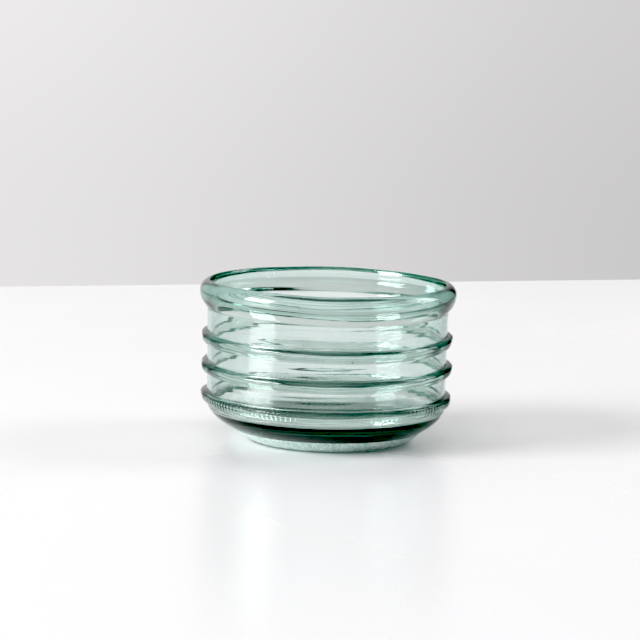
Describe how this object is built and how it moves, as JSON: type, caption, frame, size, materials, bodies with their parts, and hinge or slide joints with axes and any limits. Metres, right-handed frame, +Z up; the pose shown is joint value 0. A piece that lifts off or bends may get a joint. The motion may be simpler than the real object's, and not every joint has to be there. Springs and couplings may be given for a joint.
{
  "type": "open glass jar",
  "caption": "Low open round glass jar with a rolled lip, rings round its wall and a thick, ribbed-foot base, for holding dry goods, preserves or a candle.",
  "frame": {"origin": "centre of the foot, on the plane that the jar stands on", "axes": "+Z up along the jar's axis, towards the mouth; X and Y are any two directions square to it"},
  "size_m": [0.114, 0.114, 0.0711],
  "materials": {
    "thick_glass": "polished, deepest aqua green, seen through the thickness of the base",
    "foot_glass": "pressed ribs, pale aqua",
    "wall_glass": "fire polished, faintly wavy, pale aqua with a few small bubbles",
    "ring_glass": "fire polished, pale aqua",
    "lip_glass": "fire polished, pale aqua, thick rolled bead"
  },
  "bodies": {
    "root": {"base": "thick_glass", "foot_ring": "foot_glass", "body_wall": "wall_glass", "ring_lower": "ring_glass", "ring_middle": "ring_glass", "ring_upper": "ring_glass", "lip": "lip_glass"}
  },
  "joints": []
}
